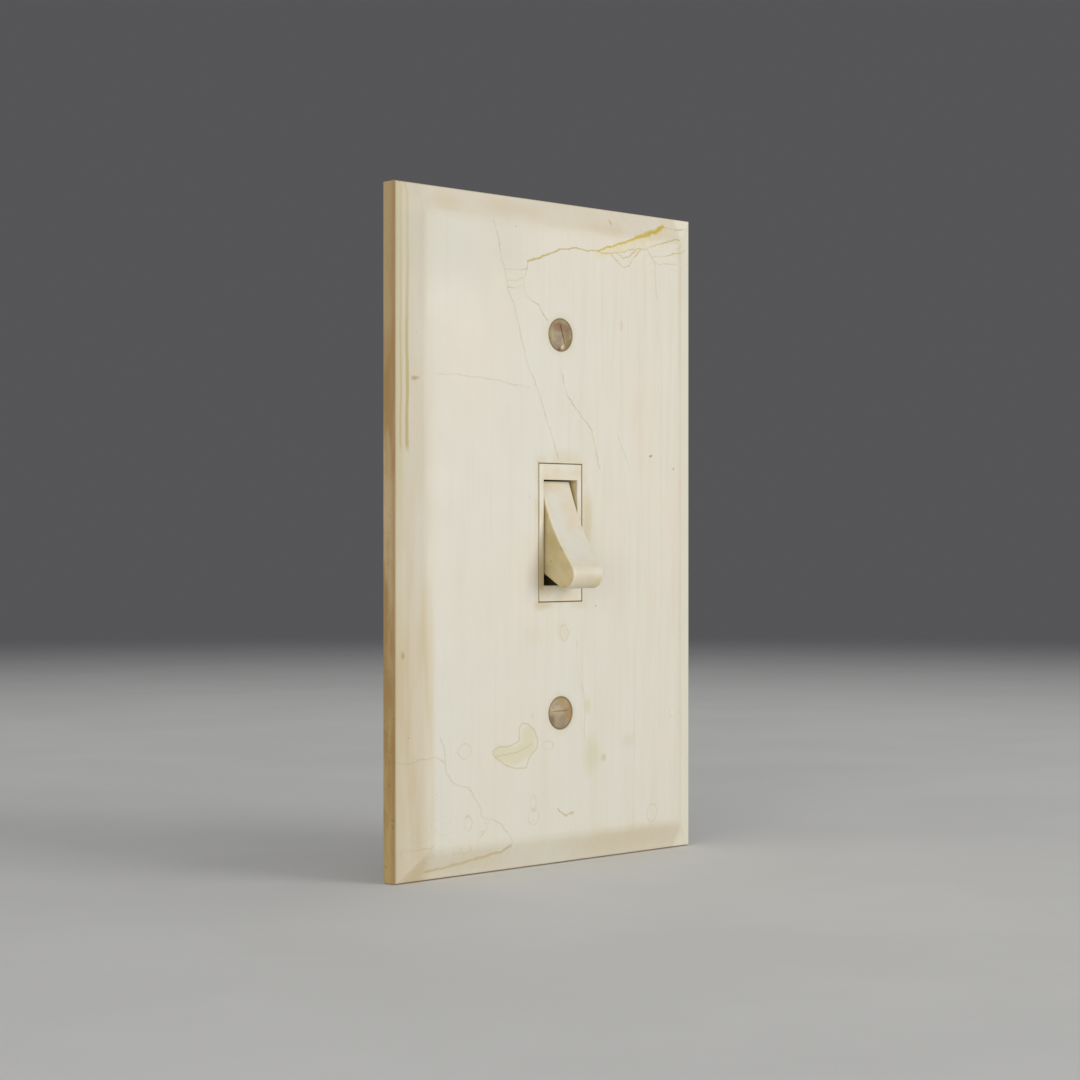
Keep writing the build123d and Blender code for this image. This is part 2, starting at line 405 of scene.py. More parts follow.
def new_material(name):
    """A material, its tree, its Principled shader and the point in millimetres."""
    material = bpy.data.materials.new(name)
    material.use_nodes = True
    tree = material.node_tree
    shader = tree.nodes["Principled BSDF"]
    where = tree.nodes.new("ShaderNodeTexCoord").outputs["Object"]
    return material, tree, shader, scaled(tree, where, (1000, 1000, 1000))


def bump(tree, shader, height, strength, depth_mm=0.05):
    node = tree.nodes.new("ShaderNodeBump")
    node.inputs["Strength"].default_value = strength
    node.inputs["Distance"].default_value = depth_mm * MM
    wire(tree, height, node.inputs["Height"])
    tree.links.new(node.outputs["Normal"], shader.inputs["Normal"])


def dress(node_name, material):
    """Give a solid from the model its finish."""
    mesh = nodes[node_name].data
    mesh.materials.clear()
    mesh.materials.append(material)


# %% Floor finish
pale, tree, shader, point = new_material("pale floor")
shader.inputs["Roughness"].default_value = 0.8
wire(
    tree,
    blend(tree, use(tree, mottling, point=point, scale=0.02)["Mask"],
          (0.74, 0.74, 0.73, 1), (0.77, 0.77, 0.76, 1)),
    shader.inputs["Base Color"],
)
# the sheet thins out with distance, so that no hard horizon cuts the view
reach = vector_calc(tree, "LENGTH", point)
wire(tree, fade(tree, reach, 260.0, 950.0, 1.0, 0.0), shader.inputs["Alpha"])
floor.data.materials.append(pale)

# %% [markdown]
# ## The cover plate's aged ivory
# The plate is an ivory moulding that has yellowed from its edges inwards. Its
# face is nearly clean, its sloping band is warmer, and its thin side wall has
# gone tan where hands and dust reached it. A few long cracks cross the upper
# half, one of them stained gold, and pale water stains lie in the lower half.
# Each crack is a chain of strokes: the distance to the nearest stroke, bent by
# noise, gives a line as fine as the real one at any picture size.

# %% Where the cracks and stains run, in millimetres on the face
plate_low, plate_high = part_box("wall_plate")
PLATE_X, PLATE_Z = plate_high[0] / MM, plate_high[2] / MM
FACE = -plate_low[1] / MM
SIDE_WALL, BAND = 3.0, 4.9  # height of the upright wall, width of the sloping band
screw_low, screw_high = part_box("plate_screws")
HEAD_R = (screw_high[0] - screw_low[0]) / 2 / MM
SCREW_Z = (screw_high[2] / MM - HEAD_R, screw_low[2] / MM + HEAD_R)

VEIN_START = [(-7.6, 45.9), (-5, 47), (-0.5, 48.5), (3, 49.2), (6, 49), (9.2, 49.3)]
VEIN_END = [(9.2, 49.3), (13.5, 50.7), (19, 52.4), (24.5, 54.2), (27.3, 55.4)]
GOLD_HAIRS = [
    [(27.3, 55.4), (28.6, 55.1), (34, 55.4)],
    [(9.2, 49.3), (10.4, 48.9), (14.8, 49.4), (21, 50.8), (23.4, 48.6), (24.4, 48.1), (26.5, 48.6), (29, 48.9)],
    [(12.2, 48.8), (13.9, 47.7), (15.6, 47.1), (17.0, 47.3), (17.9, 48.6), (19.7, 50.3)],
    [(13.8, 49.1), (15.2, 48.5), (16.8, 48.7), (18.4, 50)],
    [(21, 50.8), (25.8, 52.1), (28.8, 53.2), (30.2, 53)],
    [(23, 49.5), (28.5, 50.5), (32.5, 51.3)],
    [(-12.3, 42.3), (-10.6, 42.4), (-8.7, 43.1)],
]
HAIRS = [
    [(-15.4, 52), (-14, 47.8), (-12.3, 41.8), (-9.8, 35.1), (-8.1, 28.9), (-5.2, 24.2), (-3.4, 19.6), (-0.6, 13)],
    [(-7.6, 45.9), (-8.6, 42.4), (-8.3, 40), (-5.4, 38.9), (-3.1, 36.2)],
    [(-0.1, 28.2), (1.6, 23.8), (4.4, 21.1), (7.4, 17.9), (9.6, 11)],
    [(-13, 44.2), (-10.5, 44.3), (-7.9, 44.9)],
    [(-12.1, 41.3), (-10.5, 41.2), (-8.7, 41.8)],
]
FAINT_HAIRS = [
    [(14.1, 17), (15.6, 14.3), (17.2, 11)],
    [(-28, 26.2), (-17.5, 25.7), (-7.2, 24.6)],
    [(23.4, 48.6), (24, 43), (24.6, 33), (24, 24)],
    [(3.7, -18.6), (4.2, -24), (5.7, -28), (5.7, -36)],
]
CORNER_HAIRS = [
    [(-34.4, -37.6), (-31.5, -37.2), (-28.4, -36.6), (-26.4, -37.7)],
    [(-27.2, -33.7), (-26.2, -36.4), (-26, -39.4), (-24.5, -41.2), (-21, -42.2), (-19.4, -44.6), (-18.1, -47.5),
     (-16.2, -48.2), (-18.4, -50.6)],
    [(-16.2, -48.2), (-13.8, -49), (-11, -52), (-11.6, -54.6)],
    [(-34.4, -52.2), (-29, -51.4)],
]
CORNER_VEIN = [(-29.3, -55.6), (-20.4, -54.7), (-14, -53.7), (-11.3, -52.9)]
FISH = [(-9.0, -32.3), (-9.7, -33.1), (-9.6, -35.2), (-12.6, -36.1), (-14.4, -35.9), (-15.7, -36.4), (-15.6, -37.3),
        (-13.5, -38.8), (-10.8, -39.8), (-8.2, -39.9), (-7.6, -38.5), (-5.6, -36.6), (-5.4, -35.2), (-6.2, -33.7),
        (-7.6, -32.6), (-9.0, -32.3)]
FISH_SPINE = [(-14.2, -37), (-10.6, -37.8), (-7.6, -36.4), (-7.5, -34.3)]
WORM = [(-0.8, -47.1), (0.3, -48.1), (1.4, -48.7), (2.9, -48.3)]
# rings left by drops: centre, half width, half height
RINGS = [(-22, -36.2, 1.5, 1.2), (-6.5, -48.3, 1.3, 1.3), (-6.4, -46, 0.7, 1.3), (-21.3, -48.2, 0.8, 1.3),
         (22.7, -50, 1.2, 1.6), (28.2, -32.2, 0.9, 1.0), (-2.9, -36.4, 1.2, 0.8), (0.8, -17.2, 1.0, 1.4)]
# soft stains: centre, half width, half height, strength and colour
STAINS = [
    (6.6, 2.6, 1.3, 5.0, 0.55, (204, 190, 148)),  # a darker warm patch right of the bezel
    (1.0, 13.2, 4.5, 1.4, 0.35, (214, 196, 160)),
    (-4.6, 12.6, 1.6, 1.0, 0.35, (214, 196, 160)),
    (-4.6, -12.4, 2.4, 0.9, 0.45, (198, 178, 134)),
    (6.4, -30.2, 1.0, 1.6, 0.5, (206, 204, 150)),
    (7.4, -38.6, 2.4, 4.0, 0.4, (202, 199, 152)),
    (10.4, -39.2, 0.7, 0.9, 0.5, (186, 184, 130)),
    (16.6, -36.8, 2.2, 1.6, 0.22, (202, 192, 160)),
    (0.6, -16.8, 2.4, 2.0, 0.3, (218, 204, 168)),
    (-6.4, -17.4, 2.6, 2.4, 0.25, (218, 204, 176)),
    (-6.5, -31.3, 0.5, 0.9, 0.3, (206, 190, 160)),
    (22.4, 13.8, 0.35, 0.35, 0.8, (150, 104, 66)),
    (14.8, 36.6, 0.5, 1.2, 0.35, (206, 176, 150)),
    (-32, 25, 0.7, 0.5, 0.7, (176, 152, 96)),
    (-33.9, -20, 0.35, 0.8, 0.6, (160, 150, 80)),
    (13.4, 54.9, 0.4, 0.7, 0.5, (190, 166, 118)),
    (-10, 55, 8.0, 1.6, 0.3, (214, 190, 150)),
    (-25, 54.6, 4.0, 1.8, 0.3, (214, 190, 150)),
    (12, 53.4, 6.0, 1.6, 0.25, (216, 194, 158)),
    (17.5, -54.2, 16.0, 2.4, 0.3, (210, 195, 158)),
    (-20, -54.8, 12.0, 2.0, 0.25, (212, 198, 160)),
]


def chain_distance(tree, point, lines):
    """Distance in millimetres to the nearest of some bent lines."""
    near = []
    for line in lines:
        for (x0, z0), (x1, z1) in zip(line, line[1:]):
            near.append(
                use(tree, stroke, point=point, start=(x0, 0, z0), end=(x1, 0, z1))[0]
            )
    return smallest(tree, near)


def oval(tree, point, x, z, wide, high):
    """0 at the middle of an oval on the face, 1 at its edge, more outside it."""
    out = vector_calc(tree, "SUBTRACT", point, (x, 0, z))
    return vector_calc(tree, "LENGTH", scaled(tree, out, (1 / wide, 0, 1 / high)))


def bend(tree, point, scale, reach):
    """Push the point sideways on the face by up to half of reach, in mm."""
    push = noise(tree, point, scale, 3.0, 0.6, colour=True)
    centred = vector_calc(tree, "SUBTRACT", push, (0.5, 0.5, 0.5))
    return vector_calc(tree, "ADD", point, scaled(tree, centred, (reach, 0, reach)))


# %% The plate's clean ivory
ivory_plate, tree, shader, point = new_material("ivory cover plate")
bent = bend(tree, bend(tree, point, 0.3, 1.5), 1.5, 0.3)
x, y, z = add(tree, "ShaderNodeSeparateXYZ", point).outputs
# the marks belong to the front skin, which falls away to the rim over the
# sloping band; the hollow back is only mottled
edge = use(tree, frame_distance, point=point, half_width=PLATE_X, half_height=PLATE_Z)[0]
slope = calc(tree, "SUBTRACT", times(tree, edge, (FACE - SIDE_WALL) / BAND), SIDE_WALL)
skin = calc(tree, "MAXIMUM", slope, -FACE)
front = fade(tree, y, total(tree, skin, 0.7), total(tree, skin, 0.25))

clouds = use(tree, mottling, point=point, scale=0.045)["Mask"]
base = blend(tree, clouds, rgb(223, 220, 207), rgb(226, 218, 204))
base = blend(
    tree, times(tree, use(tree, mottling, point=point, scale=0.17)["Mask"], 0.25),
    base, rgb(219, 218, 202),
)
# upright wipe marks, hardly seen on the left, plain on the right
wipes = noise(tree, scaled(tree, point, (1.0, 1.0, 0.04)), 0.9, 3.0, 0.6)
wiped = times(tree, fade(tree, wipes, 0.45, 0.75), fade(tree, x, -20.0, 20.0, 0.14, 0.28))
base = blend(tree, wiped, base, rgb(210, 198, 176))
runs = times(tree, use(tree, streaks, point=point, scale=0.42)["Mask"], fade(tree, x, -8.0, 14.0, 0.04, 0.26))
base = blend(tree, runs, base, rgb(220, 203, 180))

# %% The sloping band and the side wall
# warmth creeps in from the rim, uneven as hands and damp left it
from_rim = use(tree, frame_distance, point=bent, half_width=PLATE_X, half_height=PLATE_Z)[0]
cloudy = fade(tree, noise(tree, scaled(tree, point, (1, 1, 0.35)), 0.12, 3.0), 0.3, 0.62, 0.35, 1.0)
# on the right band the warmth is thinned, which is painted light
band = times(tree, fade(tree, from_rim, -7.5, -3.5), cloudy, fade(tree, x, 28.0, 32.0, 1.0, 0.35))
base = blend(tree, times(tree, band, 0.5), base, rgb(221, 209, 182))
right_line = fade(tree, calc(tree, "ABSOLUTE", calc(tree, "SUBTRACT", x, 30.4)), 1.6, 0.0)
base = blend(tree, times(tree, right_line, cloudy, 0.28), base, rgb(221, 200, 166))
# painted light and shade: the right band is painted lighter to look as bright as the face, and the top left of the
# face is painted darker
base = blend(tree, fade(tree, x, 30.0, 31.2, 0.0, 0.7), base, rgb(238, 233, 213))
top_left_shade = times(tree, fade(tree, z, 38.0, 48.0), fade(tree, z, 53.0, 51.5), fade(tree, x, -2.0, -12.0), 0.3)
base = blend(tree, top_left_shade, base, rgb(200, 199, 182))

upright = noise(tree, scaled(tree, point, (1.2, 1, 0.12)), 0.35, 3.0)
low = fade(tree, z, 14.0, -24.0)
left_band = times(tree, fade(tree, x, -27.6, -30.6), fade(tree, upright, 0.35, 0.6, 0.4, 1.0))
base = blend(tree, times(tree, left_band, fade(tree, z, 14.0, -24.0, 0.42, 0.75)), base,
             blend(tree, low, rgb(209, 197, 172), rgb(206, 188, 150)))

# the strip outside the drips stays olive grey on the upper half
strip = times(tree, fade(tree, x, -33.4, -34.2), fade(tree, z, -8.0, 10.0, 0.25, 0.62))
base = blend(tree, strip, base, rgb(205, 193, 154))

wall = times(tree, fade(tree, edge, -0.40, -0.08), fade(tree, y, -3.02, -2.86))
grime = noise(tree, scaled(tree, point, (1, 1, 0.2)), 0.22, 4.0, 0.65)
wall_light = blend(tree, fade(tree, z, 34.0, 8.0), rgb(199, 172, 126), rgb(212, 187, 143))
wall_light = blend(tree, fade(tree, z, -20.0, -36.0), wall_light, rgb(207, 179, 120))
wall_tan = blend(tree, fade(tree, grime, 0.38, 0.62), wall_light, rgb(182, 147, 93))
wall_tan = blend(tree, times(tree, fade(tree, y, -1.4, -2.8), 0.55), wall_tan, rgb(180, 140, 83))
cross = noise(tree, scaled(tree, bent, (1, 1, 3.0)), 0.5, 4.0, 0.7)
cross = times(tree, fade(tree, cross, 0.60, 0.66), fade(tree, z, -20.0, -36.0, 0.15, 0.7))
wall_tan = blend(tree, cross, wall_tan, rgb(160, 118, 66))
base = blend(tree, wall, base, wall_tan)

# %% Cracks and veins


def draw(base, distance, width, strength, colour):
    """Draw a soft line of the given half width where the distance is small."""
    line = fade(tree, distance, width, times(tree, width, 0.2))
    return blend(tree, times(tree, line, front, strength), base, rgb(*colour))


patchy = fade(tree, noise(tree, point, 0.25, 2.0), 0.35, 0.6, 0.35, 1.0)
hair_d = chain_distance(tree, bent, HAIRS)
base = draw(base, hair_d, 0.17, times(tree, patchy, 0.62), (184, 172, 134))
base = draw(base, chain_distance(tree, bent, FAINT_HAIRS), 0.2, times(tree, patchy, 0.34), (194, 178, 138))
base = draw(base, chain_distance(tree, bent, CORNER_HAIRS), 0.2, times(tree, patchy, 0.42), (190, 178, 134))
base = draw(base, chain_distance(tree, bent, [CORNER_VEIN]), 0.4, 0.6, (192, 172, 118))

gold_hair_d = chain_distance(tree, bent, GOLD_HAIRS)
base = draw(base, gold_hair_d, 0.17, times(tree, patchy, 0.8), (190, 172, 92))
start_d = chain_distance(tree, bent, [VEIN_START])
base = draw(base, start_d, fade(tree, x, -1.0, -5.0, 0.18, 0.3), 0.85, (188, 166, 78))
end_d = chain_distance(tree, bent, [VEIN_END])
swell = fade(tree, x, 10.0, 22.0, 0.25, 0.5)
thick = calc(tree, "DIVIDE", end_d, swell)
below = chain_distance(tree, vector_calc(tree, "ADD", bent, (0, 0, 0.7)), [VEIN_END])
base = blend(tree, times(tree, fade(tree, below, 1.3, 0.2), front, 0.3), base, rgb(222, 208, 140))
base = blend(tree, times(tree, fade(tree, thick, 1.0, 0.35), front, 0.85), base, rgb(208, 186, 84))
base = blend(tree, times(tree, fade(tree, thick, 0.4, 0.1), front, patchy, 0.55), base, rgb(182, 154, 58))

# fine closed contours where damp dried, beside the vein and in the low corner
lines = use(tree, contours, point=point, scale=0.11, count=10.0, width=0.05)["Mask"]
beside = times(tree, fade(tree, x, 10.0, 16.0), fade(tree, z, 45.0, 48.0), fade(tree, z, 55.0, 52.5))
corner = times(tree, fade(tree, x, -12.0, -22.0), fade(tree, z, -44.0, -50.0))
base = blend(tree, times(tree, lines, calc(tree, "MAXIMUM", beside, corner), front, 0.35), base, rgb(198, 182, 128))

# %% Stains, rings and the drip
for sx, sz, wide, high, strength, colour in STAINS:
    soft = fade(tree, oval(tree, bent, sx, sz, wide, high), 1.25, 0.25)
    base = blend(tree, times(tree, soft, front, strength), base, rgb(*colour))

# the fish-shaped stain: a pale yellow body with a darker shore and one fold
smooth_bent = bend(tree, point, 0.5, 0.7)
body = fade(tree, chain_distance(tree, smooth_bent, [FISH_SPINE]), 1.9, 1.0)
base = blend(tree, times(tree, body, front, 0.42), base, rgb(210, 203, 152))
base = draw(base, chain_distance(tree, smooth_bent, [FISH]), 0.2, 0.5, (188, 178, 128))
FOLD = [(-15.2, -37.5), (-10, -37.1), (-6.8, -35.8)]
base = draw(base, chain_distance(tree, smooth_bent, [FOLD]), 0.25, 0.35, (190, 178, 122))
base = draw(base, chain_distance(tree, bent, [WORM]), 0.24, 0.6, (188, 168, 108))

ring_point = bend(tree, point, 0.6, 1.1)
gaps = [
    times(tree, calc(tree, "ABSOLUTE", calc(tree, "SUBTRACT", oval(tree, ring_point, *ring), 1.0)), min(ring[2:]))
    for ring in RINGS
]
base = draw(base, smallest(tree, gaps), 0.17, times(tree, patchy, 0.34), (190, 178, 138))

# the drip down the left band, two thin runs side by side
wavy = add(tree, "ShaderNodeSeparateXYZ", bend(tree, point, 0.12, 0.5)).outputs[0]
drip_length = times(tree, fade(tree, z, 12.6, 14.5), front)
for at, width, strength in ((-33.15, 0.34, 0.8), (-34.1, 0.22, 0.45)):
    off = calc(tree, "ABSOLUTE", calc(tree, "SUBTRACT", wavy, at))
    run = times(tree, fade(tree, off, width, width * 0.4), drip_length, fade(tree, z, 52.0, 22.0, 0.35, 1.0), strength)
    base = blend(tree, run, base, rgb(188, 172, 108))

# %% A warm halo round the bezel and the screws, and painted shade at their gaps
bezel_d = use(tree, frame_distance, point=bent, half_width=5.15, half_height=11.9)[0]
halo = times(tree, fade(tree, bezel_d, 1.6, 0.0), fade(tree, noise(tree, point, 0.35, 2.0), 0.35, 0.65, 0.1, 1.0))
base = blend(tree, times(tree, halo, front, 0.4), base, rgb(214, 194, 152))
screw_d = smallest(tree, [oval(tree, bent, 0, sz, 1, 1) for sz in SCREW_Z])
base = blend(tree, times(tree, fade(tree, screw_d, 4.2, 3.0), front, 0.25), base, rgb(210, 190, 148))
# painted shade of the gap round each screw head: a dark ring at the mouth of the countersink
rim = smallest(tree, [oval(tree, point, 0, sz, 1, 1) for sz in SCREW_Z])
base = blend(tree, fade(tree, rim, 3.0, 2.85, 0.0, 0.6), base, rgb(132, 108, 70))
# painted shade of the gap: a dark line on the arris of the opening, widest on the left
opening = use(tree, frame_distance, point=point, half_width=5.15, half_height=11.9)[0]
reach = fade(tree, x, -5.1, -5.2, 0.12, 0.3)
line = fade(tree, opening, reach, times(tree, reach, 0.3))
base = blend(tree, times(tree, line, 0.8), base, rgb(152, 136, 98))
specks = noise(tree, point, 0.9, 1.0, 0.3)
base = blend(tree, times(tree, fade(tree, specks, 0.80, 0.84), 0.5), base, rgb(176, 138, 98))

wire(tree, base, shader.inputs["Base Color"])
sheen = noise(tree, point, 0.15, 3.0)
wire(tree, fade(tree, sheen, 0.3, 0.7, 0.42, 0.56), shader.inputs["Roughness"])
shader.inputs["Specular IOR Level"].default_value = 0.4
groove = times(tree, fade(tree, smallest(tree, [hair_d, start_d, gold_hair_d]), 0.3, 0.0), -0.6)
height = calc(tree, "ADD", use(tree, grain, point=point, scale=2.2)["Height"], groove)
bump(tree, shader, height, 0.35, 0.04)
dress("wall_plate", ivory_plate)

# %% [markdown]
# ## Lever and bezel
# The lever and the bezel are the same moulding powder as the plate, a little
# warmer. Fingers keep the lever's front clean, while its sides and the well
# round it are tinted brown. The tint is placed by position: the sides by
# their distance from the middle, the well by its depth behind the face.
# Painted shade lies on the underside of the lever's tip, under the tip on the
# bezel's bottom bar and along the bezel's gap, a painted highlight runs along
# the lever's arrises, and the bezel's left and bottom bars are painted light.

# %% A shared ivory for the two mouldings


def build_warm_ivory(t, i):
    soft = use(t, mottling, point=i["Point"], scale=0.22)["Mask"]
    clean = blend(t, soft, rgb(224, 221, 207), rgb(224, 212, 190))
    cloud = use(t, mottling, point=i["Point"], scale=0.3)["Mask"]
    film = blend(t, cloud, rgb(217, 199, 150), rgb(202, 184, 132))
    return [blend(t, i["Film"], clean, film)]


warm_ivory = shader_group(
    "Warm ivory under a brown film",
    [("Point", "v", None), ("Film", "f", 0.0)],
    [("Color", "c")],
    build_warm_ivory,
)


def largest(tree, *values):
    result = values[0]
    for value in values[1:]:
        result = calc(tree, "MAXIMUM", result, value)
    return result


# %% Lever
# its tip reaches furthest out, low down at rest; a painted highlight runs along its arrises
ivory_lever, tree, shader, point = new_material("ivory lever")
x, y, z = add(tree, "ShaderNodeSeparateXYZ", point).outputs
side = fade(tree, calc(tree, "ABSOLUTE", x), 3.38, 3.62)
smudge = noise(tree, point, 0.35, 4.0, 0.6)
film = times(tree, side, fade(tree, smudge, 0.25, 0.6, 0.8, 1.0))
film = largest(tree, film, fade(tree, smudge, 0.52, 0.75, 0.0, 0.25), fade(tree, y, -5.0, -3.4, 0.0, 0.45))
# painted shade on the underside of the tip
tip_underside_shade = times(tree, fade(tree, z, -6.2, -8.2), fade(tree, x, -3.0, 3.4, 0.15, 0.6))
base = use(tree, warm_ivory, point=point, film=largest(tree, film, tip_underside_shade))[0]
# a painted highlight runs pale along the arrises
arris_highlight = times(tree, fade(tree, calc(tree, "ABSOLUTE", x), 3.05, 3.3), fade(tree, side, 0.6, 0.1), 0.6)
base = blend(tree, arris_highlight, base, rgb(236, 226, 200))
dark_spot = times(tree, fade(tree, noise(tree, point, 0.7, 3.0), 0.62, 0.7), side, 0.4)
base = blend(tree, dark_spot, base, rgb(150, 128, 80))
wire(tree, base, shader.inputs["Base Color"])
wire(tree, fade(tree, smudge, 0.3, 0.7, 0.36, 0.5), shader.inputs["Roughness"])
shader.inputs["Specular IOR Level"].default_value = 0.4
bump(tree, shader, use(tree, grain, point=point, scale=2.5)["Height"], 0.25, 0.03)
dress("toggle_lever", ivory_lever)

# %% Bezel
ivory_bezel, tree, shader, point = new_material("ivory bezel")
x, y, z = add(tree, "ShaderNodeSeparateXYZ", point).outputs
behind = fade(tree, y, -5.3, -5.0)
outline = use(tree, frame_distance, point=point, half_width=5.05, half_height=11.8)[0]
# painted shade of the gap along the bezel's outer edge
gap_edge_shade = fade(tree, outline, -0.3, -0.02, 0.0, 0.4)
# darker brown low on the left bar, and a painted shadow of the lever's tip on the bottom bar
left_low = times(tree, fade(tree, x, -3.9, -4.3), fade(tree, z, 1.0, -7.0), fade(tree, z, -10.4, -9.3))
tip_shadow = times(tree, fade(tree, z, -8.6, -9.2), fade(tree, z, -10.6, -9.6), fade(tree, x, 4.0, -1.0, 0.05, 0.2))
uneven = fade(tree, noise(tree, point, 0.4, 3.0), 0.42, 0.7, 0.0, 0.3)
# the film mask carries the brown tint together with the painted shade of the gap and of the tip
film = largest(tree, times(tree, behind, 0.85), gap_edge_shade, times(tree, left_low, 0.65), tip_shadow, uneven)
base = use(tree, warm_ivory, point=point, film=film)[0]
# the left bar and the bottom bar are painted lighter and warmer, painted light against the lever's shadow
left_bar = times(tree, fade(tree, x, -3.9, -4.3), fade(tree, z, -6.0, 0.0, 0.2, 0.7))
bottom_bar = fade(tree, z, -9.2, -10.0, 0.0, 0.45)
bar_fill_light = times(tree, largest(tree, left_bar, bottom_bar), fade(tree, y, -5.3, -5.6))
base = blend(tree, bar_fill_light, base, rgb(244, 232, 202))
base = blend(tree, times(tree, left_low, 0.3), base, rgb(184, 156, 106))
wire(tree, base, shader.inputs["Base Color"])
shader.inputs["Roughness"].default_value = 0.45
bump(tree, shader, use(tree, grain, point=point, scale=2.5)["Height"], 0.25, 0.03)
dress("front_cover", ivory_bezel)

# %% [markdown]
# ## Metals and insulation
# Behind the plate the strap and its screws are zinc plated steel, the
# terminals are brass, the housing is brown phenolic, and between them lie
# fish paper and red fibre. One function makes each metal from the tarnish
# group with its own colours, so they differ as real ones do.

# %% Metal finishes


def metal(name, bright, dark, rust_colour, scale=0.4, rust=0.2, rough=(0.28, 0.5), lay=None):
    material, tree, shader, point = new_material(name)
    marks = use(tree, tarnish, point=point, scale=scale, rust=rust)
    base = blend(tree, marks["Dark"], rgb(*bright), rgb(*dark))
    base = blend(tree, marks["Rust"], base, rgb(*rust_colour))
    wire(tree, base, shader.inputs["Base Color"])
    wire(tree, fade(tree, marks["Rust"], 0.0, 0.5, 1.0, 0.25), shader.inputs["Metallic"])
    worn = calc(tree, "MAXIMUM", marks["Rust"], calc(tree, "MULTIPLY", marks["Dark"], 0.5))
    wire(tree, fade(tree, worn, 0.0, 1.0, *rough), shader.inputs["Roughness"])
    height = marks["Height"]
    if lay:
        height = calc(tree, "ADD", height, noise(tree, scaled(tree, point, lay), 1.0, 2.0))
    bump(tree, shader, height, 0.3, 0.02)
    return material


zinc = metal("zinc plated steel", (188, 188, 184), (166, 165, 160), (150, 130, 102), 0.25, 0.18, (0.36, 0.5), (0.6, 6, 14))
spring_steel = metal("spring steel", (176, 174, 170), (120, 117, 112), (120, 96, 70), 0.8, 0.15)
bright_steel = metal("ground steel", (196, 195, 192), (160, 158, 154), (130, 110, 84), 0.6, 0.1)
brass = metal("dull brass", (206, 176, 106), (166, 132, 72), (110, 92, 54), 0.35, 0.3)
silver = metal("contact silver", (224, 222, 216), (176, 170, 158), (120, 112, 98), 0.8, 0.2)

for node_name, finish in (
    ("mounting_strap", zinc),
    ("pivot_pin", bright_steel),
    ("arm_pin", bright_steel),
    ("detent_cam", zinc),
    ("detent_plunger", brass),
    ("line_terminal", brass),
    ("load_terminal", brass),
    ("contact_arm", brass),
    ("fixed_contact", silver),
    ("moving_contact", silver),
    ("arm_spring", spring_steel),
):
    dress(node_name, finish)

# %% The two plate screws, painted once and worn back to a brown patina
screw_paint, tree, shader, point = new_material("worn screw paint")
crooked = bend(tree, point, 0.9, 0.8)
cloud = use(tree, tarnish, point=point, scale=0.7, rust=0.8)
base = blend(tree, cloud["Dark"], rgb(176, 158, 124), rgb(152, 134, 110))
for sx, sz, wide, high, strength, colour in (
    (-0.7, 35.4, 2.1, 1.1, 0.9, (124, 90, 52)),
    (1.4, 34.8, 1.1, 1.3, 0.7, (134, 102, 70)),
    (-0.8, 33.4, 1.2, 1.8, 0.6, (138, 119, 96)),
    (-2.4, 34.0, 0.5, 1.5, 0.6, (134, 122, 76)),
    (1.6, 32.6, 0.9, 1.3, 0.8, (136, 118, 56)),
    (-0.3, 31.4, 0.45, 0.5, 0.8, (100, 80, 50)),
    (0.4, 31.9, 0.35, 0.45, 0.9, (226, 200, 166)),
    (0.1, -28.8, 1.4, 0.8, 0.7, (156, 136, 72)),
    (0.9, -29.6, 1.2, 0.9, 0.5, (178, 152, 104)),
    (2.0, -31.0, 0.9, 2.0, 0.75, (172, 134, 76)),
    (-0.2, -32.9, 2.2, 1.0, 0.6, (156, 138, 114)),
    (-2.2, -32.4, 0.9, 1.4, 0.65, (112, 94, 66)),
):
    patch = fade(tree, oval(tree, crooked, sx, sz, wide, high), 1.35, 0.25)
    base = blend(tree, times(tree, patch, strength), base, rgb(*colour))
# a painted shadow lies along the upper edge of the level slot
slot_shadow = oval(tree, point, -0.3, SCREW_Z[1] + 0.38, 2.1, 0.09)
base = blend(tree, fade(tree, slot_shadow, 1.2, 0.6, 0.0, 0.75), base, rgb(104, 88, 60))
# painted shade of the gap: a dark rim round the edge of each head
rim = smallest(tree, [oval(tree, point, 0, sz, 1, 1) for sz in SCREW_Z])
base = blend(tree, fade(tree, rim, HEAD_R - 0.4, HEAD_R, 0.0, 0.75), base, rgb(104, 88, 58))
shank = fade(tree, add(tree, "ShaderNodeSeparateXYZ", point).outputs[1], -5.2, -4.6)
base = blend(tree, shank, base, rgb(150, 146, 138))
wire(tree, base, shader.inputs["Base Color"])
wire(tree, largest(tree, times(tree, shank, 0.9), 0.15), shader.inputs["Metallic"])
wire(tree, fade(tree, cloud["Rust"], 0.0, 0.6, 0.5, 0.68), shader.inputs["Roughness"])
bump(tree, shader, cloud["Height"], 0.35, 0.03)

# %% Phenolic, fibre and fish paper
phenolic, tree, shader, point = new_material("brown phenolic")
swirl = noise(tree, bend(tree, point, 0.12, 6.0), 0.35, 5.0, 0.6)
base = blend(tree, fade(tree, swirl, 0.35, 0.7), rgb(70, 46, 34), rgb(92, 62, 44))
dust = use(tree, mottling, point=point, scale=0.3)["Mask"]
wire(tree, blend(tree, calc(tree, "MULTIPLY", dust, 0.07), base, rgb(150, 138, 122)), shader.inputs["Base Color"])
wire(tree, fade(tree, swirl, 0.3, 0.7, 0.26, 0.42), shader.inputs["Roughness"])
bump(tree, shader, use(tree, grain, point=point, scale=1.6)["Height"], 0.25, 0.04)
dress("rear_housing", phenolic)


